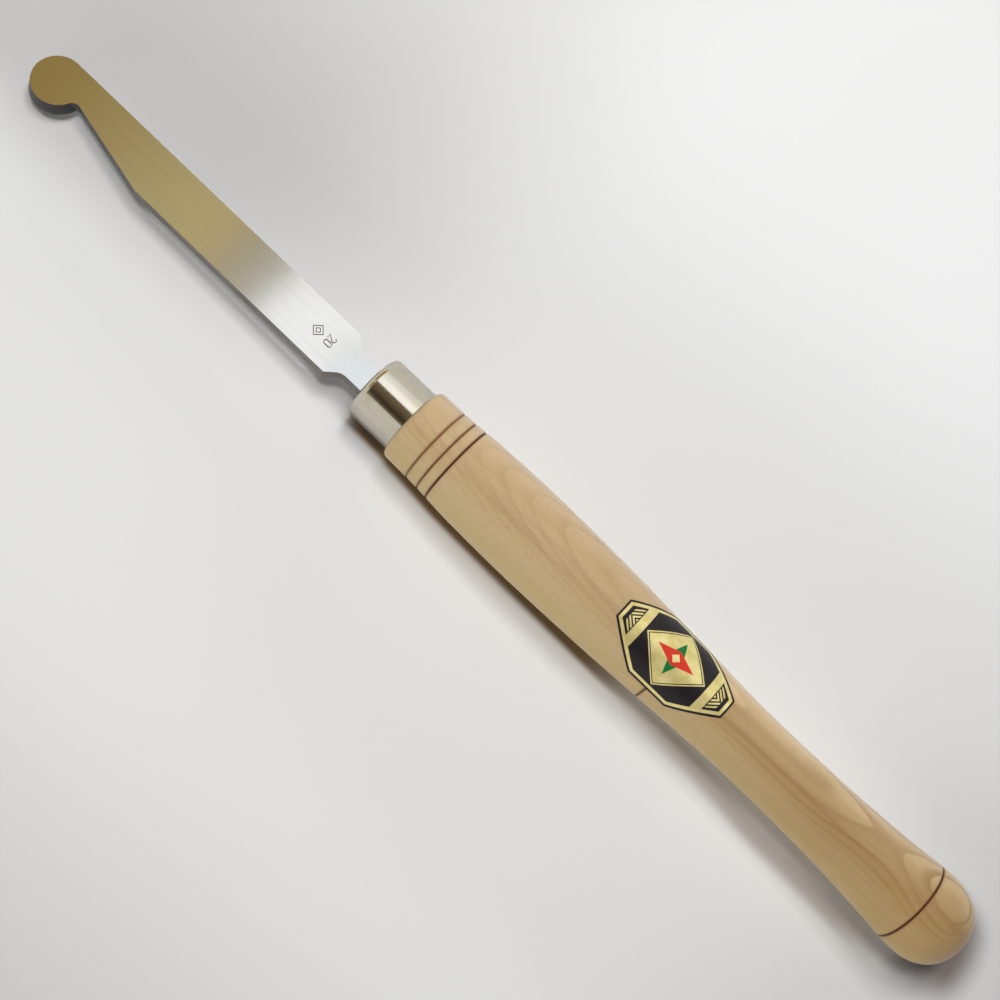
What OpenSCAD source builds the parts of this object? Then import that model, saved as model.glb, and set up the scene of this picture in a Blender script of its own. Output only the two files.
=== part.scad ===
// Hooked round-nose turning scraper with a turned beech handle.
// Millimetres. The tool's axis is X, with the nose towards +X and the broad face that
// carries the size mark up, towards +Z. The hook of the nose points to +Y.
// The origin is on the axis, in the plane where the ferrule meets the handle's shoulder.

/* [Blade] */
// Width of the flat bar
blade_w = 20; // [16:0.5:24]
// Thickness of the flat bar
blade_t = 5.5; // [4:0.5:6]
// Distance from the handle's shoulder to the tip of the nose, on the upper face
blade_reach = 191; // [170:1:230]
// Distance that the slope of the hook begins behind the middle of the nose
hook_back = 50; // [44:1:60]
// Angle of that slope to the blade's length
hook_angle = 12.8; // [8:0.2:14]
// Radius of the hollow between the slope and the nose
hook_hollow_r = 3.2; // [2:0.1:4]
// Relief of the ground edge around the nose, from upright
bevel_angle = 10; // [5:1:15]

/* [Neck and tang] */
// Bare neck between the ferrule's mouth and the full width of the bar
neck_len = 15.3; // [12:0.1:24]
// Width of the neck
neck_w = 11; // [9:0.1:12]
// Slope of the bar's shoulders to the blade's length
shoulder_angle = 42; // [36:1:60]
// Radius of the hollow between each shoulder and the neck
shoulder_hollow_r = 6; // [2:0.1:7]
// Step down all round from the neck to the tang
tang_relief = 0.2; // [0.1:0.05:0.5]
// Bare neck between that step and the ferrule's mouth, where the tang shows
tang_bare_len = 1; // [0.5:0.1:3]
// Length of the tang behind the handle's shoulder
tang_len = 64; // [45:1:75]
// Width at the tang's rear, ahead of its point
tang_end_w = 5; // [4:0.1:7]
// Length of the tang's point
tang_point_len = 6; // [4:0.5:10]

/* [Ferrule] */
// Outside diameter
ferrule_d = 26.5; // [25:0.1:28]
// Length along the axis
ferrule_len = 20; // [16:0.5:26]
// Wall of the drawn cup
ferrule_wall = 1; // [0.8:0.1:1.4]
// Outside radius of the cup's front edge
ferrule_edge_r = 2.6; // [2:0.1:4]

/* [Handle] */
// Length behind the shoulder
handle_len = 270; // [255:1:330]
// Radius of the shoulder's edge
shoulder_edge_r = 2.2; // [1:0.1:2.4]
// Diameter at the shoulder
front_d = 31; // [30:0.1:33]
// Distance of the straight front stretch's end from the shoulder
front_end_at = 14; // [10:0.5:18]
// Diameter where that stretch ends
front_end_d = 31.4; // [30:0.1:34]
// Distance of the rise to the belly from the shoulder
rise_at = 34; // [28:0.5:42]
// Diameter on that rise
rise_d = 33.7; // [32:0.1:34.4]
// Distance of the belly from the shoulder
belly_at = 60; // [52:0.5:70]
// Diameter of the belly
belly_d = 34.5; // [33:0.1:38]
// Distance of the fall behind the belly from the shoulder
fall_at = 97; // [90:0.5:105]
// Diameter on that fall
fall_d = 33.1; // [32:0.1:33.6]
// Distance of the slope under the label from the shoulder
slope_at = 122; // [115:0.5:135]
// Diameter on that slope
slope_d = 30.9; // [29.5:0.1:31.8]
// Distance of the waist from the shoulder
waist_at = 172; // [160:0.5:180]
// Diameter of the waist
waist_d = 27.2; // [25:0.1:29]
// Distance of the grip's hollow from the rear end
hollow_back = 67; // [62:0.5:70]
// Diameter at that hollow
hollow_d = 28; // [27.5:0.1:29]
// Distance of the flare from the rear end
flare_back = 38; // [34:0.5:44]
// Diameter on that flare
flare_d = 31; // [30:0.1:32.5]
// Distance of the bulb from the rear end
bulb_back = 18; // [15:0.5:24]
// Diameter of the bulb
bulb_d = 34.2; // [33:0.1:38]
// Fullness of the domed end, where 2 is a plain ellipse
dome_power = 2.3; // [2:0.1:3]
// Diameter of the small flat at the rear end, where the turned blank was parted off
end_flat_d = 3; // [1:0.5:4]

/* [Scorched rings] */
// Distance of the first ring of the front group from the shoulder
ring_first_at = 12.2; // [9:0.1:14]
// Step from the first ring to the second
ring_step_a = 5.5; // [4:0.1:7]
// Step from the second ring to the third
ring_step_b = 4.7; // [4:0.1:7]
// Distance of the last ring from the rear end
ring_last_back = 23.6; // [20:0.1:30]
// Width of each ring's groove
ring_w = 1.3; // [0.8:0.1:1.6]
// Depth of each ring's groove
ring_depth = 0.35; // [0.2:0.05:0.5]

/* [Label] */
// Distance of the label's middle, and of the ring under it, from the shoulder
label_at = 126.2; // [115:0.1:135]
// Length of the label
label_len = 51.2; // [40:0.1:60]
// Length of the label's two straight sides
label_side_len = 17.5; // [10:0.1:24]
// Width of the label, measured around the handle
label_w = 32; // [24:0.5:36]
// Width of the label's ends, measured around the handle
label_end_w = 8; // [4:0.5:12]
// Thickness of the foil and its adhesive
label_t = 0.15; // [0.1:0.01:0.25]

/* [Clearances] */
// Radial clearance between the tang's corners and the ferrule's mouth
mouth_clear = 0.6; // [0.1:0.1:1.5]
// Radial clearance between the handle's spigot and the ferrule
spigot_clear = 0.05; // [0.02:0.01:0.1]
// Clearance ahead of the spigot's end, inside the ferrule
spigot_end_clear = 0.4; // [0.2:0.1:1]
// Radial clearance at the corners of the tang where each step of its bore begins
tang_clear = 0.05; // [0.02:0.01:0.1]
// Depth of the bore behind the tang's point
tang_end_clear = 1; // [0.5:0.5:4]
// Clearance under the label
label_clear = 0.02; // [0.01:0.01:0.04]

/* [Hidden] */

round_fn = 96;
hole_fn = 64;
arc_steps = 8;
dome_steps = 14;
body_steps = 36;
slack = 0.01;

// Points of an arc about its middle, from one angle to another
function arc(mid, r, from, to) =
    [for (i = [0:arc_steps]) let (a = from + (to - from) * i / arc_steps) mid + r * [cos(a), sin(a)]];
// The same points mirrored to the other side of the axis, in reverse order
function across(points) = [for (i = [len(points) - 1:-1:0]) [points[i][0], -points[i][1]]];

// Blade
nose_r = blade_w / 2;
nose_x = blade_reach - nose_r;
hook_x = nose_x - hook_back;
bevel_run = blade_t * tan(bevel_angle);
full_x = ferrule_len + neck_len;
hook_dir = [cos(hook_angle), -sin(hook_angle)];
hook_out = [sin(hook_angle), cos(hook_angle)];
hook_start = [hook_x, blade_w / 2];

// The hollow's centre keeps its radius from the slope and touches the nose from outside:
// it lies at hook_start + k * hook_dir + hook_hollow_r * hook_out.
hollow_base = hook_start + hook_hollow_r * hook_out - [nose_x, 0];
hollow_b = hollow_base * hook_dir;
hollow_c = hollow_base * hollow_base - pow(nose_r + hook_hollow_r, 2);
hollow_k = -hollow_b - sqrt(hollow_b * hollow_b - hollow_c);
hollow_mid = hook_start + hollow_k * hook_dir + hook_hollow_r * hook_out;

// Neck
neck_y = neck_w / 2;
shoulder_rise = neck_y + shoulder_hollow_r - blade_w / 2;
neck_mid_x = full_x - (shoulder_hollow_r - shoulder_rise * cos(shoulder_angle)) / sin(shoulder_angle);

// Tang: it narrows evenly from its step to its point
tang_t = blade_t - 2 * tang_relief;
tang_step_x = ferrule_len + tang_bare_len;
tang_point_x = tang_point_len - tang_len;
tang_taper = (neck_y - tang_relief - tang_end_w / 2) / (tang_step_x - tang_point_x);
function tang_half(x) = neck_y - tang_relief - tang_taper * (tang_step_x - x);
function corner_r(x) = norm([tang_half(x), tang_t / 2]);
bore_steps = 3;
spigot_len = ferrule_len - ferrule_wall - spigot_end_clear;
bore_end = -tang_len - tang_end_clear;
function bore_x(i) = spigot_len + (bore_end - spigot_len) * i / bore_steps;
function bore_r(i) = corner_r(bore_x(i)) + tang_clear;

// Ferrule
ferrule_r = ferrule_d / 2;
ferrule_in_r = ferrule_r - ferrule_wall;
ferrule_in_edge_r = ferrule_edge_r - ferrule_wall;
ferrule_edge_mid = [ferrule_r - ferrule_edge_r, ferrule_edge_r - ferrule_len];
mouth_r = corner_r(ferrule_len) + mouth_clear;
spigot_r = ferrule_in_r - spigot_clear;

// Handle: a smooth curve through its stations, each [distance from the shoulder, radius]
bulb_at = handle_len - bulb_back;
stations = [
    [shoulder_edge_r, front_d / 2],
    [front_end_at, front_end_d / 2],
    [rise_at, rise_d / 2],
    [belly_at, belly_d / 2],
    [fall_at, fall_d / 2],
    [slope_at, slope_d / 2],
    [waist_at, waist_d / 2],
    [handle_len - hollow_back, hollow_d / 2],
    [handle_len - flare_back, flare_d / 2],
    [bulb_at, bulb_d / 2],
];
last = len(stations) - 1;
function rise(i) = (stations[i + 1][1] - stations[i][1]) / (stations[i + 1][0] - stations[i][0]);
// The slope at a station is the harmonic mean of its two neighbours' rises, and level at a crest or a waist
function slope(i) =
    i == 0 ? rise(0) :
    i == last ? 0 :
    rise(i - 1) * rise(i) <= 0 ? 0 :
    2 * rise(i - 1) * rise(i) / (rise(i - 1) + rise(i));
function span(x, i = 0) = i == last - 1 || x < stations[i + 1][0] ? i : span(x, i + 1);
function curve(i, w, u) =
    stations[i][1] * (1 + 2 * u) * pow(1 - u, 2) + slope(i) * w * u * pow(1 - u, 2)
    + stations[i + 1][1] * u * u * (3 - 2 * u) - slope(i + 1) * w * u * u * (1 - u);
function body_r(x) =
    let (i = span(x), w = stations[i + 1][0] - stations[i][0])
    curve(i, w, (x - stations[i][0]) / w);
function body_at(i) = shoulder_edge_r + (bulb_at - shoulder_edge_r) * i / body_steps;

front_arc = arc([front_d / 2 - shoulder_edge_r, shoulder_edge_r], shoulder_edge_r, -90, 0);
body_curve = [for (i = [1:body_steps]) [body_r(body_at(i)), body_at(i)]];
// Each point of the dome is a superellipse's, in steps that close up towards the end
dome_curve = [for (i = [1:dome_steps - 1]) let (u = sin(90 * i / dome_steps))
    [bulb_d / 2 * pow(1 - pow(u, dome_power), 1 / dome_power), bulb_at + bulb_back * u]];

ring_second_at = ring_first_at + ring_step_a;
rings = [ring_first_at, ring_second_at, ring_second_at + ring_step_b, label_at, handle_len - ring_last_back];
// Radius of the round bottomed cutter whose chord at the surface is the groove's width
ring_cut_r = (pow(ring_w / 2, 2) + pow(ring_depth, 2)) / (2 * ring_depth);

// Label: half its width around the handle, at a distance from its middle
label_edge_steps = 5;
label_run = (label_len - label_side_len) / 2;
function label_half(d) =
    label_w / 2 + (label_end_w - label_w) / 2 * max(0, d - label_side_len / 2) / label_run;
function label_y(x) = let (r = body_r(x)) r * sin(label_half(abs(x - label_at)) / r * 180 / PI);
label_half_xs = [for (i = [0:label_edge_steps]) label_side_len / 2 + label_run * i / label_edge_steps];
label_xs = concat([for (i = [label_edge_steps:-1:0]) -label_half_xs[i]], label_half_xs);
label_edge = [for (d = label_xs) [d - label_at, label_y(label_at - d)]];

// Turns an outline of [radius, distance behind the shoulder] about the tool's axis
module turned(outline, fn = round_fn) {
    rotate([0, -90, 0])
        rotate_extrude($fn = fn)
            polygon(outline);
}

// The bar from its neck to the middle of its nose, seen from above
module bar_outline() {
    side = concat(
        [[tang_step_x, neck_y]],
        arc([neck_mid_x, neck_y + shoulder_hollow_r], shoulder_hollow_r, -90, shoulder_angle - 90),
        [[full_x, blade_w / 2]]
    );
    hollow_end = atan2(-hollow_mid[1], nose_x - hollow_mid[0]);
    polygon(concat(
        side,
        [hook_start],
        arc(hollow_mid, hook_hollow_r, -90 - hook_angle, hollow_end),
        [[nose_x, 0], [nose_x, -blade_w / 2]],
        across(side)
    ));
}

// The tang reaches into the neck, so that the two are one piece
module tang_outline() {
    side = [
        [-tang_len, tang_end_w / 8],
        [tang_point_x, tang_end_w / 2],
        [tang_step_x, tang_half(tang_step_x)],
        [tang_step_x + tang_bare_len, tang_half(tang_step_x)],
    ];
    polygon(concat(side, across(side)));
}

// The round nose: its ground edge runs out towards the lower face, up to the bar's plain side
module nose() {
    difference() {
        translate([nose_x, 0, -blade_t / 2])
            cylinder(h = blade_t, r1 = nose_r + bevel_run, r2 = nose_r, $fn = round_fn);
        translate([nose_x - blade_w, -blade_w * 1.5, -blade_t])
            cube([blade_w * 2, blade_w, blade_t * 2]);
        translate([hollow_mid[0], hollow_mid[1], -blade_t])
            cylinder(h = blade_t * 2, r = hook_hollow_r - slack, $fn = hole_fn);
    }
}

module blade() {
    color("#b9b9b4") {
        translate([0, 0, -tang_t / 2])
            linear_extrude(tang_t)
                tang_outline();
        translate([0, 0, -blade_t / 2])
            linear_extrude(blade_t)
                bar_outline();
        nose();
    }
}

// A drawn cup, pierced at its front
module ferrule() {
    color("#cfcbbd")
        turned(concat(
            [[ferrule_r, 0]],
            arc(ferrule_edge_mid, ferrule_edge_r, 0, -90),
            [[mouth_r, -ferrule_len], [mouth_r, ferrule_wall - ferrule_len]],
            arc(ferrule_edge_mid, ferrule_in_edge_r, -90, 0),
            [[ferrule_in_r, 0]]
        ));
}

// One step of the tang's bore: its wall clears the tang's corners where the step begins
module tang_bore(i) {
    translate([bore_x(i + 1), 0, 0])
        rotate([0, 90, 0])
            cylinder(h = bore_x(i) - bore_x(i + 1) + slack, r = bore_r(i), $fn = hole_fn);
}

module ring_cut(at) {
    mid = [body_r(at) - ring_depth + ring_cut_r, at];
    turned([for (i = [0:11]) mid + ring_cut_r * [cos(i * 30), sin(i * 30)]]);
}

module handle() {
    color("#c9a877")
        difference() {
            turned(concat(
                [[0, -spigot_len], [spigot_r - ferrule_in_edge_r, -spigot_len],
                    [spigot_r, ferrule_in_edge_r - spigot_len], [spigot_r, 0]],
                front_arc,
                body_curve,
                dome_curve,
                [[end_flat_d / 2, handle_len], [0, handle_len]]
            ));
            for (i = [0:bore_steps - 1])
                tang_bore(i);
            for (at = rings)
                ring_cut(at);
        }
}

// Foil label, wrapped round the upper side of the handle
module label() {
    first = label_at - label_len / 2 - 1;
    steps = 16;
    xs = [for (i = [0:steps]) first + (label_len + 2) * i / steps];
    color("#2b261c")
        intersection() {
            turned(concat(
                [for (x = xs) [body_r(x) + label_clear, x]],
                [for (i = [steps:-1:0]) [body_r(xs[i]) + label_clear + label_t, xs[i]]]
            ));
            linear_extrude(bulb_d)
                polygon(concat(label_edge, across(label_edge)));
        }
}

blade();
ferrule();
handle();
label();
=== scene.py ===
import math

import bmesh
import bpy
from mathutils import Matrix, Vector


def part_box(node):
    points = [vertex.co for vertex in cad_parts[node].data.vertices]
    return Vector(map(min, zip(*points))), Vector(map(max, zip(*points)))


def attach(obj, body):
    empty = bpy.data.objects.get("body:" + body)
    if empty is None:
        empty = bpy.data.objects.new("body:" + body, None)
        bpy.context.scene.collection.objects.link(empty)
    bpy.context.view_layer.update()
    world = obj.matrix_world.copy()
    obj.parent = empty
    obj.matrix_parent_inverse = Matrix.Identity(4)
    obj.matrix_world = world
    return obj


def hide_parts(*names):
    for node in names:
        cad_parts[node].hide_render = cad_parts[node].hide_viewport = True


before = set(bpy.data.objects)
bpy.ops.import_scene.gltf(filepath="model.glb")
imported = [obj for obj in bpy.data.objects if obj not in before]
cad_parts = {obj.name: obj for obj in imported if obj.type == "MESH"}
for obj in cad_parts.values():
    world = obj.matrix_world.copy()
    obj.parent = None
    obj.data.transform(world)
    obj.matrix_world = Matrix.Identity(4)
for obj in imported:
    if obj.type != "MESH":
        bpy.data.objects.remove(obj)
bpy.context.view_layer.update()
MM = 0.001


# The blade is a flat bar of tool steel, forged to a hooked round nose and drawn down to a tang.
# Its faces are ground along the bar, its sides keep the dark skin of the hardening, its long edges
# are eased with a stone, and the nose is ground all round to an edge at the upper face.
blade_low, blade_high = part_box("blade")
BAR_HALF = -blade_low.y
BAR_TOP = blade_high.z
NOSE_RELIEF = blade_high.y - BAR_HALF
NOSE_X = blade_high.x - blade_high.y
HOOK_BACK = 50 * MM
HOOK_ANGLE = math.radians(12.8)
HOLLOW_R = 3.2 * MM
NECK_HALF = 5.5 * MM
FULL_WIDTH_X = 35.3 * MM
SHOULDER_ANGLE = math.radians(42)
SHOULDER_HOLLOW_R = 6 * MM
TANG_STEP_X = 21 * MM
TANG_RELIEF = 0.2 * MM
TANG_POINT_X = -58 * MM
TANG_END_HALF = 2.5 * MM
TANG_POINT_HALF = TANG_END_HALF / 4
EASED_EDGE = 0.22 * MM
GROUND_EDGE = 0.04 * MM
NOSE_REACH = 1.2 * BAR_HALF
ARC_STEPS = 14
NOSE_STEPS = 72
QUARTER = math.pi / 2


def arc(middle, radius, start, end, steps=ARC_STEPS):
    """Points of an arc in the plan, from one angle to another."""
    turn = (end - start) / steps
    return [
        (middle[0] + radius * math.cos(start + turn * i), middle[1] + radius * math.sin(start + turn * i))
        for i in range(steps + 1)
    ]


def hollow_middle():
    """Middle of the hollow that touches the hook's slope and, from outside, the round of the nose."""
    along = Vector((math.cos(HOOK_ANGLE), -math.sin(HOOK_ANGLE)))
    out = Vector((math.sin(HOOK_ANGLE), math.cos(HOOK_ANGLE)))
    base = Vector((-HOOK_BACK, BAR_HALF)) + HOLLOW_R * out
    half = base.dot(along)
    run = -half - math.sqrt(half * half - base.length_squared + (BAR_HALF + HOLLOW_R) ** 2)
    return Vector((NOSE_X, 0)) + base + run * along


def bar_plan(nose_r):
    """Plan of the bar ahead of its tang, with the nose at one radius."""
    middle = hollow_middle()
    reach = (middle - Vector((NOSE_X, 0))).length
    to_nose = math.atan2(-middle.y, NOSE_X - middle.x)
    at_hollow = math.acos(min(1, (reach**2 + HOLLOW_R**2 - nose_r**2) / (2 * reach * HOLLOW_R)))
    at_nose = math.acos(min(1, (reach**2 + nose_r**2 - HOLLOW_R**2) / (2 * reach * nose_r)))
    rise = NECK_HALF + SHOULDER_HOLLOW_R - BAR_HALF
    back = (SHOULDER_HOLLOW_R - rise * math.cos(SHOULDER_ANGLE)) / math.sin(SHOULDER_ANGLE)
    neck = (FULL_WIDTH_X - back, NECK_HALF + SHOULDER_HOLLOW_R)
    side = [(TANG_STEP_X, NECK_HALF)]
    side += arc(neck, SHOULDER_HOLLOW_R, -QUARTER, SHOULDER_ANGLE - QUARTER)
    side += [(FULL_WIDTH_X, BAR_HALF)]
    hollow = arc(middle, HOLLOW_R, -QUARTER - HOOK_ANGLE, to_nose - at_hollow)
    nose = arc((NOSE_X, 0), nose_r, to_nose + math.pi + at_nose, -QUARTER, NOSE_STEPS)
    nose = [(x, max(y, -BAR_HALF)) for x, y in nose]
    across = [(x, -y) for x, y in reversed(side)]
    return side + [(NOSE_X - HOOK_BACK, BAR_HALF)] + hollow + nose[1:] + across


def new_piece(name, mesh):
    """A new object of that mesh, in the scene."""
    piece = bpy.data.objects.new(name, mesh)
    bpy.context.scene.collection.objects.link(piece)
    return piece


def piece_from(made, name):
    """Ends a mesh in the making, with its normals outwards, and gives its object."""
    bmesh.ops.recalc_face_normals(made, faces=made.faces)
    mesh = bpy.data.meshes.new(name)
    made.to_mesh(mesh)
    made.free()
    return new_piece(name, mesh)


def apply_modifiers(piece):
    """Bakes a piece's modifiers into its own mesh."""
    depsgraph = bpy.context.evaluated_depsgraph_get()
    mesh = bpy.data.meshes.new_from_object(piece.evaluated_get(depsgraph))
    piece.modifiers.clear()
    piece.data = mesh


def slab(name, lower, upper, z_low, z_high):
    """A closed slab between two plans that have as many points as each other."""
    made = bmesh.new()
    bottom = [made.verts.new((x, y, z_low)) for x, y in lower]
    top = [made.verts.new((x, y, z_high)) for x, y in upper]
    made.faces.new(top)
    made.faces.new(reversed(bottom))
    for i in range(len(top)):
        j = (i + 1) % len(top)
        made.faces.new((bottom[i], bottom[j], top[j], top[i]))
    return piece_from(made, name)


def cut(piece, cutter, operation="DIFFERENCE"):
    """Joins a cutter to a piece by a boolean, and throws the cutter away."""
    modifier = piece.modifiers.new("cut", "BOOLEAN")
    modifier.operation = operation
    modifier.solver = "EXACT"
    modifier.object = cutter
    apply_modifiers(piece)
    bpy.data.objects.remove(cutter)


def edge_weight(ends):
    """How far an edge of the blade is eased: the nose stays nearly sharp, upright edges as they are."""
    if abs(ends[0].z - ends[1].z) > MM:
        return 0
    ahead = min(end.x for end in ends) > NOSE_X - BAR_HALF
    near = (ends[0].xy - Vector((NOSE_X, 0))).length < NOSE_REACH
    return GROUND_EDGE / EASED_EDGE if ahead and near else 1


blade = slab("turning_blade", bar_plan(BAR_HALF + NOSE_RELIEF), bar_plan(BAR_HALF), -BAR_TOP, BAR_TOP)
weights = blade.data.attributes.new("bevel_weight_edge", "FLOAT", "EDGE")
for edge in blade.data.edges:
    weights.data[edge.index].value = edge_weight([blade.data.vertices[i].co for i in edge.vertices])
eased = blade.modifiers.new("eased", "BEVEL")
eased.limit_method = "WEIGHT"
eased.width = EASED_EDGE
eased.segments = 3
apply_modifiers(blade)


def tang_half(x):
    """Half the tang's width at a place along it."""
    widest = NECK_HALF - TANG_RELIEF
    share = (TANG_STEP_X - x) / (TANG_STEP_X - TANG_POINT_X)
    return widest + (TANG_END_HALF - widest) * min(1, max(0, share))


# The tang, a little slimmer than the bar all round, runs back from the neck to a blunt point.
TANG_TOP = BAR_TOP - TANG_RELIEF
tang_side = [(x, tang_half(x)) for x in (TANG_POINT_X, TANG_STEP_X, TANG_STEP_X + MM)]
tang_side.insert(0, (blade_low.x, TANG_POINT_HALF))
tang_plan = tang_side + [(x, -y) for x, y in reversed(tang_side)]
cut(blade, slab("tang", tang_plan, tang_plan, -TANG_TOP, TANG_TOP), "UNION")

# The bar's width in millimetres is struck into the upper face with round nosed punches, and so are
# two plain lozenges ahead of it, one in the other.
MARK_X = 41.7 * MM
MARK_TALL = 3.4 * MM
MARK_WIDE = 1.7 * MM
MARK_STEP = 2.4 * MM
STROKE_R = 0.27 * MM
STROKE_LIFT = 0.3 * STROKE_R
BOW_START = math.radians(170)
BOW_END = math.radians(-35)
FIGURE_STEPS = 10
LOZENGE_X = 47.6 * MM
LOZENGE_HALF = 2.5 * MM
INNER_LOZENGE_HALF = 0.45 * LOZENGE_HALF


def stroke(name, points, closed=False):
    """A round rod along a line on the upper face, half sunk into it."""
    curve = bpy.data.curves.new(name, "CURVE")
    curve.dimensions = "3D"
    curve.bevel_depth = STROKE_R
    curve.bevel_resolution = 2
    curve.use_fill_caps = True
    line = curve.splines.new("POLY")
    line.points.add(len(points) - 1)
    line.use_cyclic_u = closed
    for point, (x, y) in zip(line.points, points):
        point.co = (x, y, BAR_TOP + STROKE_LIFT, 1)
    rod = new_piece(name, curve)
    depsgraph = bpy.context.evaluated_depsgraph_get()
    solid = new_piece(name + "_solid", bpy.data.meshes.new_from_object(rod.evaluated_get(depsgraph)))
    bpy.data.objects.remove(rod)
    return solid


def on_blade(points, across):
    """Turns a figure's own points, to the right and up, to the blade: up is towards the handle."""
    return [(MARK_X - up, across + right) for right, up in points]


def lozenge(half):
    """Corners of a lozenge on the blade."""
    return [(LOZENGE_X + half * a, half * b) for a, b in ((1, 0), (0, 1), (-1, 0), (0, -1))]


half_tall, half_wide = MARK_TALL / 2, MARK_WIDE / 2
bow_mid = (0, half_tall - half_wide)
bow = arc(bow_mid, half_wide, BOW_START, BOW_END, FIGURE_STEPS)
two = bow + [(-half_wide, -half_tall), (half_wide, -half_tall)]
nought = arc(bow_mid, half_wide, math.pi, 0, FIGURE_STEPS)
nought += arc((0, half_wide - half_tall), half_wide, 0, -math.pi, FIGURE_STEPS)
cut(blade, stroke("two", on_blade(two, -MARK_STEP / 2)))
cut(blade, stroke("nought", on_blade(nought, MARK_STEP / 2), closed=True))
cut(blade, stroke("lozenge", lozenge(LOZENGE_HALF), closed=True))
cut(blade, stroke("inner_lozenge", lozenge(INNER_LOZENGE_HALF), closed=True))


def smooth_sides(piece, angle=math.radians(40)):
    """Smooth shading that stays flat on large faces and breaks at sharp edges."""
    piece.data.shade_smooth()
    piece.data.set_sharp_from_angle(angle=angle)
    modifier = piece.modifiers.new("flat_faces", "WEIGHTED_NORMAL")
    modifier.keep_sharp = True
    apply_modifiers(piece)


smooth_sides(blade)


class Value:
    """A shader socket. Operators on it add the Math nodes of the expression."""

    def __init__(self, finish, socket):
        self.finish = finish
        self.socket = socket

    def math(self, operation, *values):
        """A Math node of that operation on those values."""
        return self.finish.node("ShaderNodeMath", {"operation": operation}, dict(enumerate(values)))

    def __add__(self, other):
        return self.math("ADD", self, other)

    def __radd__(self, other):
        return self.math("ADD", other, self)

    def __sub__(self, other):
        return self.math("SUBTRACT", self, other)

    def __rsub__(self, other):
        return self.math("SUBTRACT", other, self)

    def __mul__(self, other):
        return self.math("MULTIPLY", self, other)

    def __rmul__(self, other):
        return self.math("MULTIPLY", other, self)

    def __truediv__(self, other):
        return self.math("DIVIDE", self, other)

    def __rtruediv__(self, other):
        return self.math("DIVIDE", other, self)

    def __pow__(self, other):
        return self.math("POWER", self, other)

    def __abs__(self):
        return self.math("ABSOLUTE", self)

    def __neg__(self):
        return self.math("MULTIPLY", self, -1)

    def least(self, other):
        """The smaller of two values."""
        return self.math("MINIMUM", self, other)

    def most(self, other):
        """The larger of two values."""
        return self.math("MAXIMUM", self, other)

    def over(self, low, high):
        """0 below one value and 1 above another, with a soft step between them."""
        settings = {"interpolation_type": "SMOOTHSTEP"}
        ends = {"Value": self, "From Min": low, "From Max": high}
        return self.finish.node("ShaderNodeMapRange", settings, ends)

    def under(self, low, high):
        """1 below one value and 0 above another."""
        return 1 - self.over(low, high)

    def between(self, low, full, last, high):
        """1 from full to last, with a soft step up from low before it and one down to high after it."""
        return self.over(low, full) * self.under(last, high)


class Finish:
    """A surface finish: the node tree of one material, or of the world."""

    def __init__(self, owner):
        self.owner = owner
        owner.use_nodes = True
        self.tree = owner.node_tree
        self.tree.nodes.clear()

    def node(self, kind, settings=None, sockets=None, out=0):
        """Adds a node, sets it, then sets or links its sockets, and gives one of its outputs."""
        node = self.tree.nodes.new(kind)
        for name, value in (settings or {}).items():
            setattr(node, name, value)
        for name, value in (sockets or {}).items():
            socket = node.inputs[name]
            if isinstance(value, Value):
                self.tree.links.new(value.socket, socket)
            elif socket.type == "RGBA":
                socket.default_value = (*value, 1)
            else:
                socket.default_value = value
        return Value(self, node.outputs[out]) if len(node.outputs) else None

    def place(self):
        """The point on the surface, in the tool's own frame."""
        return self.node("ShaderNodeTexCoord", out="Object")

    def axes(self, vector):
        """The three numbers of a vector."""
        split = self.node("ShaderNodeSeparateXYZ", sockets={0: vector}).socket.node
        return [Value(self, output) for output in split.outputs]

    def stretch(self, vector, x, y, z):
        """A vector with each of its axes scaled by itself."""
        product = {"operation": "MULTIPLY"}
        return self.node("ShaderNodeVectorMath", product, {0: vector, 1: (x, y, z)})

    def noise(self, vector, detail=2.0, rough=0.5, twist=0.0):
        """Cloudy noise from 0 to 1, with one cell to each unit of the vector."""
        sockets = {"Vector": vector, "Scale": 1.0, "Detail": detail, "Roughness": rough, "Distortion": twist}
        return self.node("ShaderNodeTexNoise", sockets=sockets)

    def mix(self, share, first, second):
        """A colour between two others."""
        return self.node("ShaderNodeMix", {"data_type": "RGBA"}, {0: share, 6: first, 7: second}, out=2)

    def ramp(self, share, first, last, between):
        """A colour that runs from the first to the last by way of others, each at its place."""
        colour = self.node("ShaderNodeValToRGB", sockets={0: share})
        stops = colour.socket.node.color_ramp.elements
        stops[0].color = (*first, 1)
        stops[1].color = (*last, 1)
        for at, tone in between:
            stops.new(at).color = (*tone, 1)
        return colour

    def bump(self, height, depth, normal=None):
        """A normal tilted by relief of that depth, on top of another normal where one is given."""
        sockets = {"Height": height, "Distance": depth}
        if normal:
            sockets["Normal"] = normal
        return self.node("ShaderNodeBump", sockets=sockets)

    def surface(self, sockets):
        """Ends the tree in one plain surface shader."""
        shader = self.node("ShaderNodeBsdfPrincipled", sockets=sockets)
        self.node("ShaderNodeOutputMaterial", sockets={"Surface": shader})
        return self.owner


def material(name):
    """A new material, as a finish without nodes."""
    return Finish(bpy.data.materials.new(name))


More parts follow.
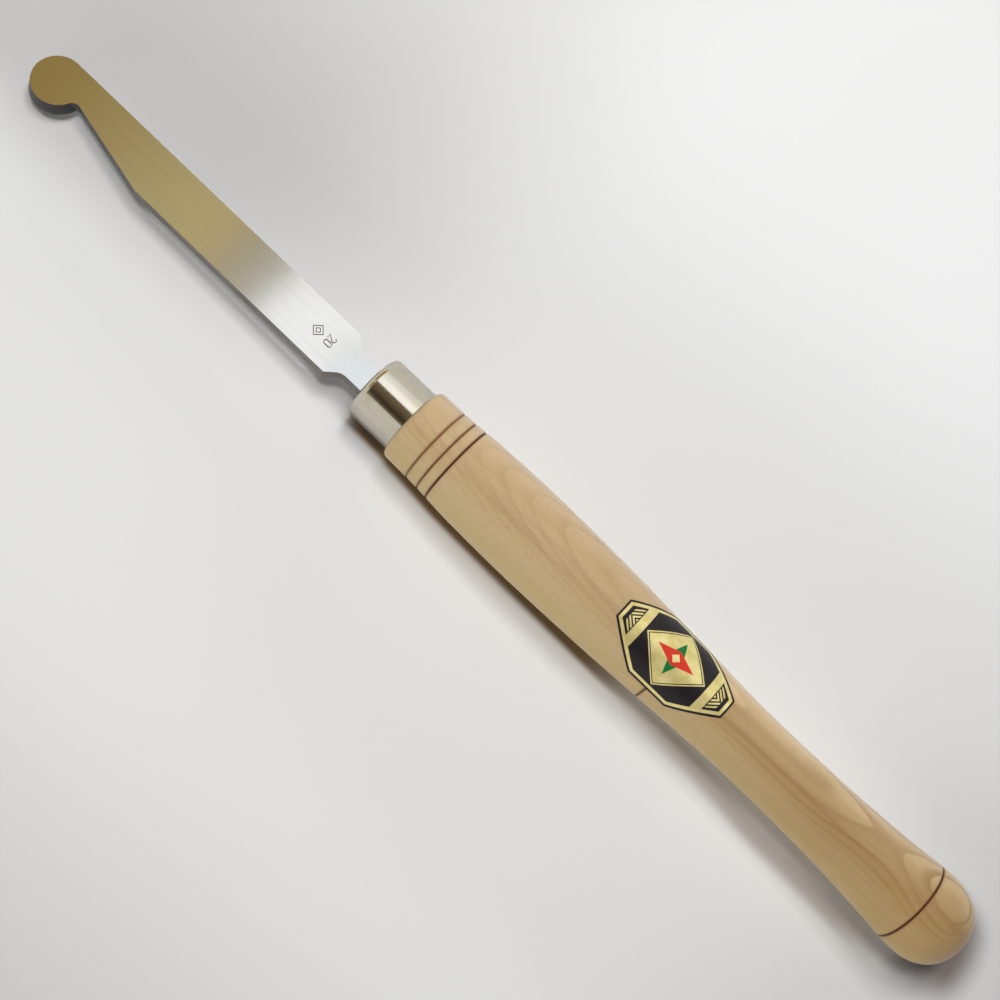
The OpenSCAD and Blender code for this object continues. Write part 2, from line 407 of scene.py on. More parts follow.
def ground_steel():
    """Tool steel, ground bright along the bar, with dark sides that painted shade makes darkest around the
    hook.
    """
    finish = material("ground_steel")
    place = finish.place()
    x = finish.axes(place)[0]
    facing = abs(finish.axes(finish.node("ShaderNodeNewGeometry", out="Normal"))[2])
    flat = facing.over(0.55, 0.9)
    lines = finish.noise(finish.stretch(place, 30, 3400, 3400), detail=3, rough=0.6)
    bands = finish.noise(finish.stretch(place, 12, 700, 700), detail=2)
    clouds = finish.noise(finish.stretch(place, 45, 60, 60), detail=3)
    specks = finish.noise(finish.stretch(place, 900, 1500, 1500), detail=2).over(0.68, 0.8)
    clean, tarnished = (0.62, 0.62, 0.615), (0.54, 0.51, 0.44)
    scuffed, pitted = (0.47, 0.47, 0.47), (0.28, 0.25, 0.20)
    bar_skin, hook_skin_and_shade, scale = (0.17, 0.155, 0.13), (0.025, 0.025, 0.03), (0.04, 0.036, 0.034)
    worn = finish.mix(clouds.over(0.4, 0.8) * 0.25, clean, tarnished)
    worn = finish.mix(bands.over(0.45, 0.75) * 0.2, worn, scuffed)
    face = finish.mix(specks * 0.2, worn, pitted)
    # Painted shade: the sides darken towards the hook, where they mirror the shaded card close under the
    # nose.
    skin = finish.mix(x.over(110 * MM, 160 * MM), bar_skin, hook_skin_and_shade)
    skin = finish.mix(clouds.over(0.3, 0.7) * 0.5, skin, scale)
    bright_roughness = 0.05 + 0.03 * lines + 0.02 * bands + 0.02 * clouds
    grooves = finish.bump(lines * flat, 0.0008 * MM)
    return finish.surface({
        "Base Color": finish.mix(flat, skin, face),
        "Metallic": 0.2 + 0.8 * flat,
        "Roughness": bright_roughness + 0.34 * (1 - flat),
        "Normal": finish.bump(bands * flat, 0.0012 * MM, normal=grooves),
    })


blade.data.materials.clear()
blade.data.materials.append(ground_steel())
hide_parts("blade")
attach(blade, "root")


# The ferrule is a cup drawn from thin sheet brass, pierced for the neck and plated with nickel.
# It was polished on a lathe, so its faint lines run around it, and handling has left a few smears.
ferrule_low, ferrule_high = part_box("ferrule")
FERRULE_R = ferrule_high.z
FERRULE_LEN = ferrule_high.x - ferrule_low.x
FERRULE_WALL = 1 * MM
FERRULE_EDGE_R = 2.6 * MM
MOUTH_CLEAR = 0.6 * MM
MOUTH_R = math.hypot(tang_half(FERRULE_LEN), TANG_TOP) + MOUTH_CLEAR
RIM_R = 0.2 * MM
RIM_STEPS = 4
TURN_STEPS = 192


def turn(name, outline, steps=TURN_STEPS, closed=True):
    """Turns an outline of (x, radius) about the tool's axis. Points on the axis become one vertex."""
    made = bmesh.new()
    rings = []
    for x, r in outline:
        if r == 0:
            rings.append([made.verts.new((x, 0, 0))] * steps)
            continue
        angles = [2 * math.pi * i / steps for i in range(steps)]
        rings.append([made.verts.new((x, r * math.sin(a), r * math.cos(a))) for a in angles])
    pairs = list(zip(rings, rings[1:]))
    if closed:
        pairs.append((rings[-1], rings[0]))
    for first, second in pairs:
        for i in range(steps):
            j = (i + 1) % steps
            corners = list(dict.fromkeys((first[i], first[j], second[j], second[i])))
            if len(corners) > 2:
                made.faces.new(corners)
    return piece_from(made, name)


edge_mid = (FERRULE_LEN - FERRULE_EDGE_R, FERRULE_R - FERRULE_EDGE_R)
inner_edge_r = FERRULE_EDGE_R - FERRULE_WALL
ferrule_outline = arc((RIM_R, FERRULE_R - RIM_R), RIM_R, math.pi, QUARTER, RIM_STEPS)
ferrule_outline += arc(edge_mid, FERRULE_EDGE_R, QUARTER, 0)
ferrule_outline += arc((FERRULE_LEN - RIM_R, MOUTH_R + RIM_R), RIM_R, 0, -QUARTER, RIM_STEPS)
ferrule_outline += [(FERRULE_LEN - FERRULE_WALL, MOUTH_R)]
ferrule_outline += arc(edge_mid, inner_edge_r, 0, QUARTER)
ferrule_outline += [(0, FERRULE_R - FERRULE_WALL)]
ferrule = turn("nickel_ferrule", ferrule_outline)
smooth_sides(ferrule)


def polished_nickel():
    """Nickel plate, polished on the lathe, with a yellowish cast and faint smears."""
    finish = material("polished_nickel")
    place = finish.place()
    y, z = finish.axes(place)[1:]
    angle = y.math("ARCTAN2", y, z)
    lines = finish.noise(finish.stretch(place, 2600, 40, 40), detail=2)
    smears = finish.noise(finish.stretch(place, 120, 90, 90), detail=4, rough=0.6, twist=0.6)
    film = smears.over(0.45, 0.75)
    clean, smeared, shade_tone = (0.68, 0.64, 0.565), (0.60, 0.555, 0.46), (0.12, 0.095, 0.06)
    bright = finish.mix(film * 0.5, clean, smeared)
    # Painted shade darkens both sides, most of all low on the hook's side; handling roughened both sides.
    hook_side, low_hook_side = angle.over(0.95, 1.35), angle.over(1.2, 1.62)
    plain_side = angle.under(-0.8, -0.4)
    painted_shade = (0.3 * hook_side).most(0.14 * plain_side).most(0.95 * low_hook_side)
    handled = angle.over(0.7, 0.9).most(angle.under(-0.42, -0.25))
    return finish.surface({
        "Base Color": finish.mix(painted_shade, bright, shade_tone),
        "Metallic": 1.0,
        "Roughness": 0.10 + 0.05 * film + 0.04 * lines + 0.2 * handled,
        "Normal": finish.bump(lines, 0.0015 * MM),
    })


ferrule.data.materials.append(polished_nickel())
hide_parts("ferrule")
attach(ferrule, "root")


# The handle is turned from one length of steamed beech, sanded, scored with a point and burnt
# with a wire in each score. A spigot at its front fills the ferrule, and the tang's hole is
# bored in three steps.
handle_low, handle_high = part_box("handle")
HANDLE_LEN = -handle_low.x
SPIGOT_LEN = handle_high.x
SPIGOT_CLEAR = 0.05 * MM
SPIGOT_R = FERRULE_R - FERRULE_WALL - SPIGOT_CLEAR
SPIGOT_EDGE_STEPS = 6
SHOULDER_R = 2.2 * MM
SHOULDER_STEPS = 10
BULB_BACK = 18 * MM
DOME_POWER = 2.3
DOME_STEPS = 40
END_FLAT_R = 1.5 * MM
BORE_END = -65 * MM
BORE_STEPS = 3
TANG_CLEAR = 0.05 * MM
LABEL_AT = 126.2 * MM
SCORES = [12.2 * MM, 17.7 * MM, 22.4 * MM, LABEL_AT, HANDLE_LEN - 23.6 * MM]
SCORE_HALF = 0.65 * MM
SCORE_DEPTH = 0.35 * MM
bulb_at = HANDLE_LEN - BULB_BACK
# Each station of the turned profile is a distance behind the shoulder and a diameter, in millimetres.
# The three of the rear keep their distances from the handle's end, and are given with their radii.
stations = [(2.2, 31), (14, 31.4), (34, 33.7), (60, 34.5), (97, 33.1), (122, 30.9), (172, 27.2)]
stations = [(at * MM, d / 2 * MM) for at, d in stations]
stations += [(HANDLE_LEN - 67 * MM, 14 * MM), (HANDLE_LEN - 38 * MM, 15.5 * MM), (bulb_at, 17.1 * MM)]


def rise(i):
    """The profile's straight rise from a station to the next."""
    return (stations[i + 1][1] - stations[i][1]) / (stations[i + 1][0] - stations[i][0])


def station_slope(i):
    """The profile's slope at a station: the harmonic mean of its neighbours' rises, or level."""
    if i == 0:
        return rise(0)
    if i == len(stations) - 1 or rise(i - 1) * rise(i) <= 0:
        return 0
    return 2 * rise(i - 1) * rise(i) / (rise(i - 1) + rise(i))


def body_radius(at):
    """Radius of the turned body, scores left out, at a distance behind the shoulder."""
    i = max(k for k in range(len(stations) - 1) if k == 0 or stations[k][0] <= at)
    (from_at, from_r), (to_at, to_r) = stations[i], stations[i + 1]
    width = to_at - from_at
    u = (at - from_at) / width
    v = 1 - u
    ends = from_r * (1 + 2 * u) * v * v + to_r * u * u * (3 - 2 * u)
    return ends + width * u * v * (station_slope(i) * v - station_slope(i + 1) * u)


def scored_radius(at):
    """Radius of the turned body with its scores, whose lips are rounded by the sanding."""
    depths = [SCORE_DEPTH * max(0, 1 - (abs(at - score) / SCORE_HALF) ** 2.5) for score in SCORES]
    return body_radius(at) - sum(depths)


def body_places():
    """Distances behind the shoulder for the profile's points, close together at the scores."""
    steps, score_steps = 150, 6
    clear = 1.2 * SCORE_HALF
    span = bulb_at - stations[0][0]
    places = [stations[0][0] + span * i / steps for i in range(steps + 1)]
    places = [p for p in places if all(abs(p - score) > clear for score in SCORES)]
    offsets = [SCORE_HALF * k / score_steps for k in range(-score_steps - 1, score_steps + 2)]
    return sorted(places + [score + offset for score in SCORES for offset in offsets])


bore_xs = [SPIGOT_LEN + (BORE_END - SPIGOT_LEN) * i / BORE_STEPS for i in range(BORE_STEPS + 1)]
handle_outline = [(BORE_END, 0)]
for front, back in reversed(list(zip(bore_xs, bore_xs[1:]))):
    bore_r = math.hypot(tang_half(front), TANG_TOP) + TANG_CLEAR
    handle_outline += [(back, bore_r), (front, bore_r)]
spigot_mid = (SPIGOT_LEN - inner_edge_r, SPIGOT_R - inner_edge_r)
handle_outline += arc(spigot_mid, inner_edge_r, 0, QUARTER, SPIGOT_EDGE_STEPS)
handle_outline += [(0, SPIGOT_R)]
shoulder_mid = (-SHOULDER_R, stations[0][1] - SHOULDER_R)
handle_outline += arc(shoulder_mid, SHOULDER_R, 0, QUARTER, SHOULDER_STEPS)
handle_outline += [(-at, scored_radius(at)) for at in body_places()[1:]]
for i in range(1, DOME_STEPS):
    u = math.sin(QUARTER * i / DOME_STEPS)
    dome_r = stations[-1][1] * (1 - u**DOME_POWER) ** (1 / DOME_POWER)
    handle_outline.append((-bulb_at - BULB_BACK * u, dome_r))
handle_outline = [point for point in handle_outline if point[0] > -HANDLE_LEN or point[1] > END_FLAT_R]
handle_outline += [(-HANDLE_LEN, END_FLAT_R), (-HANDLE_LEN, 0)]
handle = turn("beech_handle", handle_outline, closed=False)
smooth_sides(handle, math.radians(50))


def turned_beech():
    """Beech with soft growth rings, darker heart streaks, flecks along the grain and burnt scores."""
    finish = material("turned_beech")
    place = finish.place()
    x, y, z = finish.axes(place)
    behind = -x
    # The growth rings lie about a pith below the handle. They rise towards the belly, so that they
    # end in arches there, fall again behind the label, where they end in a long tongue, and rise
    # once more in the bulb.
    pith_y, pith_z = 26 * MM, -58.9 * MM
    ring_width, ring_phase = 1.75 * MM, 0.63
    belly_rise = behind.over(-10 * MM, 115 * MM) * (9.85 * MM)
    tongue_fall = behind.over(186 * MM, 232 * MM) * (3.5 * MM)
    bulb_rise = behind.over(225 * MM, 275 * MM) * (2.2 * MM)
    sway = finish.noise(finish.stretch(place, 11, 22, 22), detail=2) - 0.5
    ripple = finish.noise(finish.stretch(place, 40, 160, 160), detail=2) - 0.5
    off_y = y - pith_y
    off_z = z - pith_z
    from_pith = (off_y * off_y + off_z * off_z) ** 0.5 + belly_rise - tongue_fall + bulb_rise
    years = (from_pith + (0.9 * MM) * sway + (0.4 * MM) * ripple) / ring_width + ring_phase
    part = years.math("FRACT", years)
    year = {"W": years.math("FLOOR", years)}
    year_tone = finish.node("ShaderNodeTexWhiteNoise", {"noise_dimensions": "1D"}, year, out="Value")
    angle = y.math("ARCTAN2", y, z)
    clear_side = angle.over(0.2, 0.9)
    rear = behind.over(120 * MM, 210 * MM)
    late = part.between(0.4, 0.92, 0.93, 1.0) * (0.15 + 0.32 * year_tone)
    late = late * (1 - 0.8 * clear_side) * (0.56 + 1.44 * rear)
    clouds = finish.noise(finish.stretch(place, 9, 45, 45), detail=3)
    streaks = finish.noise(finish.stretch(place, 14, 420, 420), detail=4, rough=0.65)
    fibre = finish.noise(finish.stretch(place, 110, 2600, 2600), detail=3, rough=0.6)
    pores = finish.noise(finish.stretch(place, 75, 1300, 1300), detail=2).over(0.66, 0.76)
    cells = {"Vector": finish.stretch(place, 330, 1700, 1700), "Scale": 1.0}
    fleck = finish.node("ShaderNodeTexVoronoi", sockets=cells).under(0.16, 0.34)
    # A darker streak of heartwood runs along the upper side, a little to the hook's side of its top.
    streak_angle, streak_half = 0.14, 0.26
    heart = abs(angle - streak_angle + 0.4 * sway).under(0.02, streak_half)
    heart = heart * (0.3 + streaks.over(0.4, 0.65)) * behind.over(15 * MM, 60 * MM)
    heart = heart * (0.25 + 0.35 * rear)
    front_wood = finish.mix(clouds.over(0.3, 0.72), (0.53, 0.38, 0.212), (0.455, 0.312, 0.157))
    rear_wood = finish.mix(clouds.over(0.3, 0.72), (0.42, 0.28, 0.130), (0.35, 0.222, 0.092))
    clear_wood, painted_light_edge, lit_and_pale_wood = (0.47, 0.372, 0.195), (0.66, 0.475, 0.15), (0.64, 0.475, 0.27)
    bulb_wood, dark, fleck_brown = (0.33, 0.20, 0.05), (0.29, 0.16, 0.06), (0.22, 0.12, 0.05)
    scorch, char = (0.15, 0.045, 0.008), (0.040, 0.008, 0.001)
    wood = finish.mix(behind.over(30 * MM, 190 * MM), front_wood, rear_wood)
    wood = finish.mix(clear_side * (0.5 - 0.4 * rear), wood, clear_wood)
    # Painted light: the lower part of the hook's side is lightened, as fill light would lighten it.
    wood = finish.mix(angle.over(0.8, 1.3) * 0.35, wood, painted_light_edge)
    # Painted light: the plain side is lightened, the more towards the rear; behind the label a real pale
    # patch of the figure takes the same colour.
    plain_side = angle.under(-0.65, 0.05) * (0.22 + 0.38 * behind.over(90 * MM, 160 * MM))
    pale = angle.under(-0.55, -0.05) * behind.between(120 * MM, 150 * MM, 180 * MM, 215 * MM)
    plain_side = plain_side.most(0.9 * pale)
    late = late * (1 - 0.5 * pale)
    heart = heart * (1 - 0.5 * pale)
    wood = finish.mix(plain_side, wood, lit_and_pale_wood)
    wood = finish.mix(late, wood, dark)
    wood = finish.mix(heart, wood, dark)
    wood = finish.mix(streaks.over(0.5, 0.8) * 0.2, wood, dark)
    wood = finish.mix(fibre.over(0.5, 0.85) * 0.15, wood, dark)
    wood = finish.mix(pores * (0.3 + 0.2 * rear), wood, dark)
    wood = finish.mix(fleck * 0.2, wood, fleck_brown)
    wood = finish.mix(behind.over(212 * MM, 245 * MM) * 0.2, wood, bulb_wood)
    # The wire has burnt each score to its own depth, and unevenly.
    patchy = finish.noise(finish.stretch(place, 60, 110, 110), detail=2).over(0.2, 0.6)
    burns = (0.15, 0.35, 1.0, 0.5, 0.95)
    burnt = 0.0
    singed = 0.0
    for at, strength in zip(SCORES, burns):
        away = abs(behind - at)
        line = away.under(0.15 * SCORE_HALF, 0.95 * SCORE_HALF)
        burnt = (line * strength * (0.6 + 0.4 * patchy)).most(burnt)
        brown = away.under(0.25 * SCORE_HALF, 1.05 * SCORE_HALF) * (0.85 + 0.15 * strength)
        haze = away.under(SCORE_HALF, 2.6 * SCORE_HALF) * 0.12
        singed = brown.most(haze).most(singed)
    wood = finish.mix(singed, wood, scorch)
    lathe_lines = finish.noise(finish.stretch(place, 1500, 12, 12), detail=2)
    grain = finish.bump(1 - fleck * 0.6 - fibre * 0.4, 0.02 * MM)
    return finish.surface({
        "Base Color": finish.mix(burnt, wood, char),
        "Roughness": 0.3 + 0.1 * streaks + 0.3 * singed,
        "Coat Weight": (0.08 + 0.62 * angle.under(-1.1, -0.5)) * (1 - singed),
        "Coat Roughness": 0.2,
        "Normal": finish.bump(lathe_lines, 0.006 * MM, normal=grain),
    })


handle.data.materials.append(turned_beech())
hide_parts("handle")
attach(handle, "root")


# The label is an eight sided piece of embossed gold foil, printed in black, red and green and stuck
# to the upper side of the handle. Its design is a plain geometric one.
LABEL_LEN = 51.2 * MM
LABEL_SIDE = 17.5 * MM
LABEL_HALF = 16 * MM
LABEL_END_HALF = 4 * MM
LABEL_LIFT = 0.02 * MM
LABEL_THICK = 0.15 * MM
LABEL_ROWS = 24
LABEL_COLUMNS = 48


def label_half(along):
    """Half the label's width around the handle, at a distance from its middle."""
    run = (LABEL_LEN - LABEL_SIDE) / 2
    share = max(0, abs(along) - LABEL_SIDE / 2) / run
    return LABEL_HALF + (LABEL_END_HALF - LABEL_HALF) * share


def label_piece():
    """The foil as a closed sheet that follows the handle: rows along it, columns around it."""
    corners = [-LABEL_LEN / 2, -LABEL_SIDE / 2, LABEL_SIDE / 2, LABEL_LEN / 2]
    rows = []
    for start, end in zip(corners, corners[1:]):
        rows += [start + (end - start) * i / LABEL_ROWS for i in range(LABEL_ROWS)]
    rows.append(corners[-1])
    made = bmesh.new()
    skins = []
    for lift in (LABEL_LIFT + LABEL_THICK, LABEL_LIFT):
        skin = []
        for along in rows:
            r = body_radius(LABEL_AT - along)
            turns = [label_half(along) * (2 * i / LABEL_COLUMNS - 1) / r for i in range(LABEL_COLUMNS + 1)]
            places = [(along - LABEL_AT, (r + lift) * math.sin(a), (r + lift) * math.cos(a)) for a in turns]
            skin.append([made.verts.new(place) for place in places])
        skins.append(skin)
    for skin in skins:
        for row, after in zip(skin, skin[1:]):
            for i in range(LABEL_COLUMNS):
                made.faces.new((row[i], row[i + 1], after[i + 1], after[i]))
    upper, lower = skins
    for top, bottom in ((upper[0], lower[0]), (upper[-1], lower[-1])):
        for i in range(LABEL_COLUMNS):
            made.faces.new((top[i], top[i + 1], bottom[i + 1], bottom[i]))
    for side in (0, LABEL_COLUMNS):
        for k in range(len(rows) - 1):
            made.faces.new((upper[k][side], upper[k + 1][side], lower[k + 1][side], lower[k][side]))
    return piece_from(made, "foil_label")


label = label_piece()
smooth_sides(label)


def printed_foil():
    """Gold foil under black, red and green ink: a framed lozenge with a four pointed star in it."""
    finish = material("printed_foil")
    place = finish.place()
    x, y, z = finish.axes(place)
    # Distances on the foil, in millimetres: along the handle and around it from the label's middle.
    along = abs(x + LABEL_AT) / MM
    around = abs((y * y + z * z) ** 0.5 * y.math("ARCTAN2", y, z)) / MM
    half_len, half_side = LABEL_LEN / 2 / MM, LABEL_SIDE / 2 / MM
    half_wide, end_half = LABEL_HALF / MM, LABEL_END_HALF / MM
    slope = (half_wide - end_half) / (half_len - half_side)
    to_taper = (half_wide - around - slope * (along - half_side)) / math.hypot(1, slope)
    inside = (half_len - along).least(half_wide - around).least(to_taper)
    soft = 0.1
    border_from, border_to = 0.75, 2.0
    band_from, band_to = 15.0, 18.4
    chevrons_from, chevrons_to, chevrons_inset = 18.8, 22.0, 2.9
    chevron_step, chevron_rake = 1.6, 0.9
    medal_half, heart_half, red_half, green_half = (14.2, 13.2), (1.9, 1.9), (8.6, 3.1), (3.1, 7.6)

    def diamond(half):
        """1 at the label's middle, and 0 on the outline of a lozenge with those half diagonals."""
        return 1 - along / half[0] - around / half[1]

    border = inside.between(border_from, border_from + soft, border_to, border_to + soft)
    medal = diamond(medal_half).over(0.0, 0.012)
    medal_line = diamond(medal_half).between(0.05, 0.06, 0.085, 0.095)
    band = along.between(band_from, band_from + soft, band_to, band_to + soft)
    band = band * inside.over(border_to, border_to + soft)
    steps = (around + along * chevron_rake) / chevron_step
    chevron = steps.math("FRACT", steps).over(0.45, 0.5)
    chevron = chevron * along.between(chevrons_from, chevrons_from + soft, chevrons_to, chevrons_to + soft)
    chevron = chevron * inside.over(chevrons_inset, chevrons_inset + soft)
    gold = border.most(medal).most(band).most(chevron) * (1 - medal_line)
    heart = diamond(heart_half).over(0.0, 0.02)
    red = diamond(red_half).over(0.0, 0.02) * (1 - heart)
    green = diamond(green_half).over(0.0, 0.02) * (1 - red) * (1 - heart)
    bare = gold * (1 - red) * (1 - green)
    wrinkle = finish.noise(finish.stretch(place, 260, 260, 260), detail=2)
    deep_gold, pale_gold = (0.66, 0.55, 0.20), (0.78, 0.68, 0.32)
    black_ink, red_ink, green_ink = (0.012, 0.009, 0.012), (0.60, 0.03, 0.015), (0.008, 0.15, 0.035)
    colour = finish.mix(gold, black_ink, finish.mix(wrinkle.over(0.3, 0.7), deep_gold, pale_gold))
    colour = finish.mix(red, colour, red_ink)
    colour = finish.mix(green, colour, green_ink)
    return finish.surface({
        "Base Color": colour,
        "Metallic": 0.35 * bare,
        "Roughness": 0.42 - 0.1 * bare,
        "Specular IOR Level": 0.25,
        "Coat Weight": 0.1,
        "Coat Roughness": 0.15,
        "Normal": finish.bump(bare + 0.3 * wrinkle, 0.03 * MM),
    })


label.data.materials.append(printed_foil())
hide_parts("label")
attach(label, "root")


# The tool lies on a plain pale sheet of card. It balances on the front of its handle with the nose a
# few millimetres up, so the card leans by the few degrees that the tool's axis does.
CARD_LEAN = math.radians(2.45)
CARD_HALF = 3.0
ROOM_TONE = (0.70, 0.69, 0.675)
down = Vector((math.sin(CARD_LEAN), 0, -math.cos(CARD_LEAN)))
lowest = max(down.dot(vertex.co) for piece in (blade, ferrule, handle) for vertex in piece.data.vertices)
level = Matrix.Rotation(-CARD_LEAN, 4, "Y")
made = bmesh.new()
for corner in ((-1, -1, 0), (1, -1, 0), (1, 1, 0), (-1, 1, 0)):
    made.verts.new(level @ Vector(corner) * CARD_HALF + down * lowest)
made.faces.new(made.verts)
card = piece_from(made, "card")


def pale_card():
    """Matt pale card, greyer beside the blade and in two corners, with the soft shades of the tool."""
    finish = material("pale_card")
    place = finish.place()
    x, y = finish.axes(place)[:2]
    clouds = finish.noise(finish.stretch(place, 5, 5, 5), detail=2)
    warm_card, plain_card, dim = (0.84, 0.835, 0.83), (0.87, 0.87, 0.87), (0.03, 0.02, 0.0)
    belly_shade, soft_shade, dark_shade = (0.29, 0.205, 0.125), (0.28, 0.21, 0.17), (0.05, 0.015, 0.0)
    black, thin_light = (0, 0, 0), (0.12, 0.117, 0.11)
    # The light falls off beside the blade, towards the hook's side and towards the rear, and is
    # fullest on the plain side of the handle.
    beside_blade = x.between(-30 * MM, 130 * MM, 220 * MM, 340 * MM)
    beside_blade = beside_blade * y.between(-220 * MM, -40 * MM, 0, 35 * MM)
    hook_corner = y.over(120 * MM, 260 * MM)
    rear_corner = (x + 50 * MM * y.under(-90 * MM, -40 * MM)).under(-350 * MM, -170 * MM)
    plain_corner = y.under(-220 * MM, -60 * MM) * x.under(0, 120 * MM)
    light = (1 - 0.30 * beside_blade) * (1 - 0.23 * hook_corner) * (1 - 0.27 * rear_corner)
    light = light * (0.89 + 0.11 * plain_corner)
    # The neck and the bar keep some of the light off the card beside them.
    beside_neck = x.between(12 * MM, 22 * MM, 30 * MM, 50 * MM) * y.between(0, 6 * MM, 8 * MM, 17 * MM)
    along_bar = x.between(36 * MM, 46 * MM, 122 * MM, 132 * MM)
    beside_bar = y.between(9.8 * MM, 10.8 * MM, 11.0 * MM, 12.8 * MM) * along_bar
    light = light * (1 - 0.25 * beside_neck) * (1 - 0.18 * beside_bar)
    card_colour = finish.mix(light, dim, finish.mix(clouds, warm_card, plain_card))
    # Under the belly and the ferrule, where they nearly touch it, the card is in deep shade.
    contact_edge = 14.0 * MM + 2.2 * MM * x.under(-30 * MM, 5 * MM)
    contact = (y - contact_edge).under(-2 * MM, 1 * MM) * y.over(-4 * MM, 6 * MM)
    contact = contact * x.between(-135 * MM, -100 * MM, 12 * MM, 26 * MM)
    card_colour = finish.mix(contact, card_colour, belly_shade)
    # The raised rear end throws a softer shade a little way off, and one beyond its dome.
    from_rear_shade = y - 13.5 * MM - 2.5 * MM * x.under(-200 * MM, -160 * MM)
    rear_shade = from_rear_shade.between(-5 * MM, -1 * MM, 1 * MM, 7 * MM)
    rear_shade = rear_shade * x.between(-265 * MM, -235 * MM, -160 * MM, -110 * MM)
    card_colour = finish.mix(rear_shade * 0.5, card_colour, soft_shade)
    to_bulb = ((x + 256 * MM) ** 2 + (y + 0.5 * MM) ** 2) ** 0.5
    bulb_shade = to_bulb.under(26 * MM, 40 * MM) * x.under(-268 * MM, -258 * MM)
    bulb_shade = bulb_shade * y.between(-30 * MM, -16 * MM, 2 * MM, 24 * MM)
    card_colour = finish.mix(bulb_shade * 0.78, card_colour, dark_shade)
    # Light reaches a little way under the edge of the bar, which stands clear of the card.
    under_edge = y.between(7.2 * MM, 8.6 * MM, 9.3 * MM, 10.1 * MM) * along_bar
    edge_glow = finish.mix(under_edge, black, thin_light)
    # Far from the tool the card fades into the room.
    far = ((x * x + y * y) ** 0.5).over(300 * MM, 440 * MM)
    return finish.surface({
        "Base Color": finish.mix(far, card_colour, black),
        "Emission Color": finish.mix(far, edge_glow, ROOM_TONE),
        "Emission Strength": 1.0,
        "Roughness": 0.9,
        "Specular IOR Level": 0.2,
    })


card.data.materials.append(pale_card())


# The studio has two small bright lights overhead and a long low one on either side. None of them
# shows in the metal, which sees the room and three sheets under its ceiling instead.
def lamp(name, place, width, height, power, colour=(1, 1, 1)):
    """A soft box that is aimed at the tool and that neither the camera nor the metal sees."""
    light = bpy.data.lights.new(name, "AREA")
    light.shape = "RECTANGLE"
    light.size = width
    light.size_y = height
    light.energy = power
    light.color = colour
    box = bpy.data.objects.new(name, light)
    bpy.context.scene.collection.objects.link(box)
    box.location = place
    box.rotation_euler = Vector(place).to_track_quat("Z", "Y").to_euler()
    box.visible_camera = False
    box.visible_glossy = False


lamp("overhead", (0.06, 0.06, 1.15), 0.18, 0.30, 5.95)
lamp("plain_side_top", (0.06, -0.29, 1.10), 0.18, 0.32, 4.9)
lamp("hook_side_fill", (-0.05, 1.15, 0.26), 1.2, 0.3, 5.4, (1.0, 0.98, 0.95))
lamp("plain_side_fill", (-0.05, -1.15, 0.30), 1.2, 0.3, 5.0, (1.0, 0.99, 0.98))


ROOM_TOP = 0.8


def ceiling_sheet(name, x_from, x_to, y_from, y_to):
    """A sheet under the ceiling that only reflections see. Gives the finish of the sheet."""
    made = bmesh.new()
    corners = ((x_from, y_from), (x_to, y_from), (x_to, y_to), (x_from, y_to))
    made.faces.new([made.verts.new((x, y, ROOM_TOP)) for x, y in corners])
    piece = piece_from(made, name)
    piece.visible_camera = False
    piece.visible_diffuse = False
    piece.visible_shadow = False
    piece.visible_transmission = False
    finish = material(name)
    piece.data.materials.append(finish.owner)
    return finish


def glow(finish, colour, strength):
    """Ends a sheet's tree in its own light."""
    shine = finish.node("ShaderNodeEmission", sockets={"Color": colour, "Strength": strength})
    finish.node("ShaderNodeOutputMaterial", sockets={"Surface": shine})


# The bright sheet fades to the room's tone on the plain side. Towards the nose, warm boards follow it.
SHEET_LIGHT = 1.38
BRIGHT_END = 0.272
BRIGHT_SOFT = 0.015
BOARDS_START = 0.28
bright_y, bright_x = (-1.2, -0.06), (-0.9, 1.4)
ceiling = ceiling_sheet("ceiling", *bright_x, *bright_y)
sheet_x, sheet_y = ceiling.axes(ceiling.place())[:2]
white = ceiling.ramp(
    (sheet_y - bright_y[0]) / (bright_y[1] - bright_y[0]),
    (0.51, 0.50, 0.455),
    (1.0, 1.0, 0.99),
    [
        (0.35, (0.60, 0.58, 0.51)),
        (0.58, (0.73, 0.70, 0.58)),
        (0.70, (0.88, 0.87, 0.80)),
        (0.77, (1.0, 1.0, 0.99)),
    ],
)
boards = ceiling.ramp(
    (sheet_x - BRIGHT_END) / (bright_x[1] - BRIGHT_END),
    (0.50, 0.49, 0.45),
    (0.25, 0.13, 0.03),
    [
        (0.04, (0.405, 0.34, 0.23)),
        (0.065, (0.49, 0.39, 0.185)),
        (0.11, (0.46, 0.375, 0.18)),
        (0.24, (0.305, 0.21, 0.07)),
    ],
)
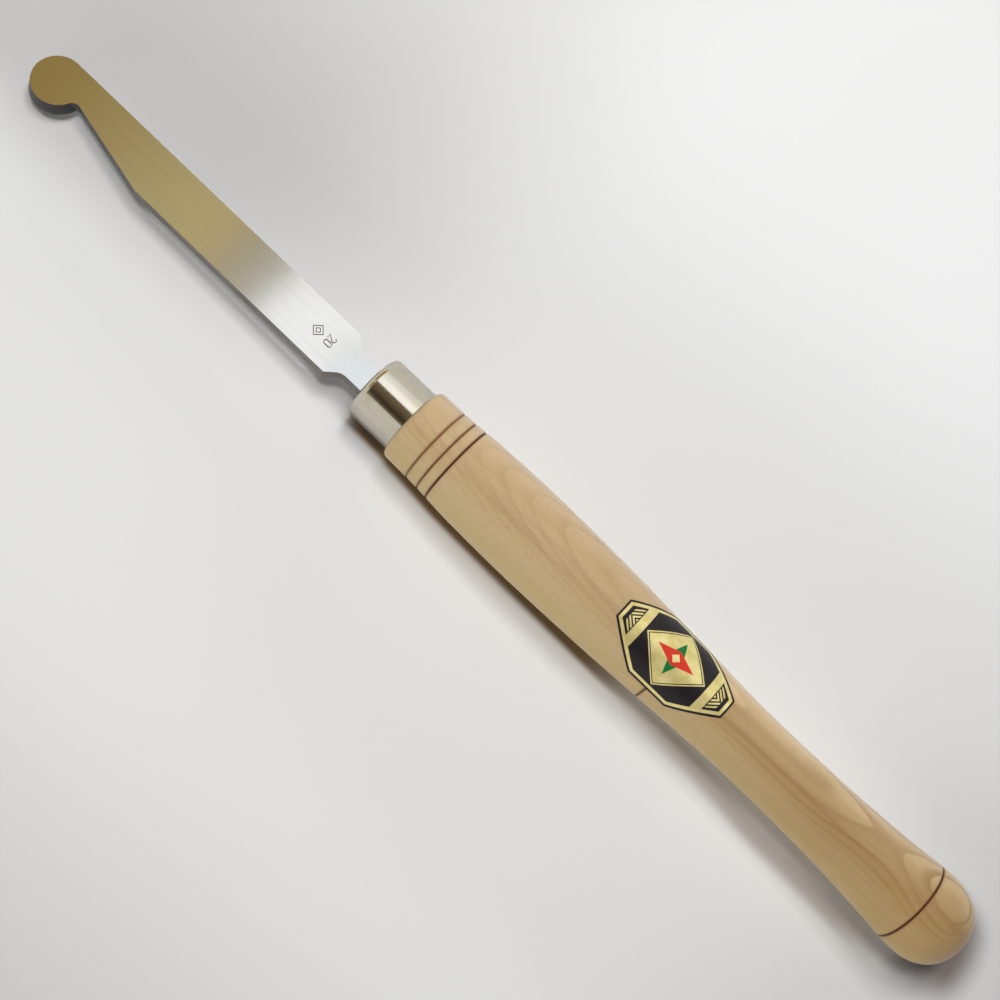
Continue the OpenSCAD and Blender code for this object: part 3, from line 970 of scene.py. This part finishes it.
# A bluer patch of the bright sheet shows in the neck.
sky_blue, board_brown = (0.80, 0.87, 0.93), (0.30, 0.22, 0.09)
white = ceiling.mix(sheet_x.between(0.13, 0.16, 0.17, 0.205) * 0.8, white, sky_blue)
past_bright = sheet_x.over(BRIGHT_END - BRIGHT_SOFT, BRIGHT_END + BRIGHT_SOFT)
glow(ceiling, ceiling.mix(past_bright, white, boards), SHEET_LIGHT)
hook_side_boards = ceiling_sheet("hook_side_boards", BOARDS_START, bright_x[1], 0.02, 0.5)
glow(hook_side_boards, board_brown, SHEET_LIGHT)
dark_y = (-0.045, 0.85)
dark_wall = ceiling_sheet("dark_wall", bright_x[0], BOARDS_START, *dark_y)
wall_y = dark_wall.axes(dark_wall.place())[1]
wall_tone = dark_wall.ramp(
    (wall_y - dark_y[0]) / (dark_y[1] - dark_y[0]),
    (0.20, 0.15, 0.10),
    (0.22, 0.175, 0.12),
    [(0.3, (0.14, 0.10, 0.065)), (0.55, (0.05, 0.035, 0.02)), (0.7, (0.055, 0.04, 0.025))],
)
glow(dark_wall, wall_tone, 1.0)

# The room itself: dim as a light, bright and warm in the metal, and a plain tone to the camera.
DIM_TONE, MIRRORED_TONE = (0.10, 0.10, 0.104), (0.72, 0.705, 0.645)
world = bpy.data.worlds.new("room")
bpy.context.scene.world = world
room = Finish(world)
by_camera = room.node("ShaderNodeLightPath", out="Is Camera Ray")
by_metal = room.node("ShaderNodeLightPath", out="Is Glossy Ray")
tone = room.mix(by_metal, DIM_TONE, MIRRORED_TONE)
tone = room.mix(by_camera, tone, ROOM_TONE)
shade = room.node("ShaderNodeBackground", sockets={"Color": tone, "Strength": 1.0})
room.node("ShaderNodeOutputWorld", sockets={"Surface": shade})


# The camera stands over the tool, leans a little to the hook's side, and is rolled so that the tool
# lies from corner to corner.
CAMERA_PLACE = Vector((-0.0688, 0.1636, 0.5406))
CAMERA_AIM = Vector((-0.0426, -0.0020, 0))
CAMERA_ROLL = math.radians(35.2)
CAMERA_LENS, SENSOR_WIDTH = 56.28, 36
camera_data = bpy.data.cameras.new("camera")
camera_data.sensor_width = SENSOR_WIDTH
camera_data.lens = CAMERA_LENS
camera_data.clip_start = 0.01
camera_data.clip_end = 20
camera = bpy.data.objects.new("camera", camera_data)
bpy.context.scene.collection.objects.link(camera)
camera.location = CAMERA_PLACE
look = (CAMERA_AIM - CAMERA_PLACE).to_track_quat("-Z", "Y")
camera.rotation_mode = "QUATERNION"
camera.rotation_quaternion = look @ Matrix.Rotation(CAMERA_ROLL, 3, "Z").to_quaternion()
bpy.context.scene.camera = camera
bpy.context.scene.view_settings.view_transform = "Standard"
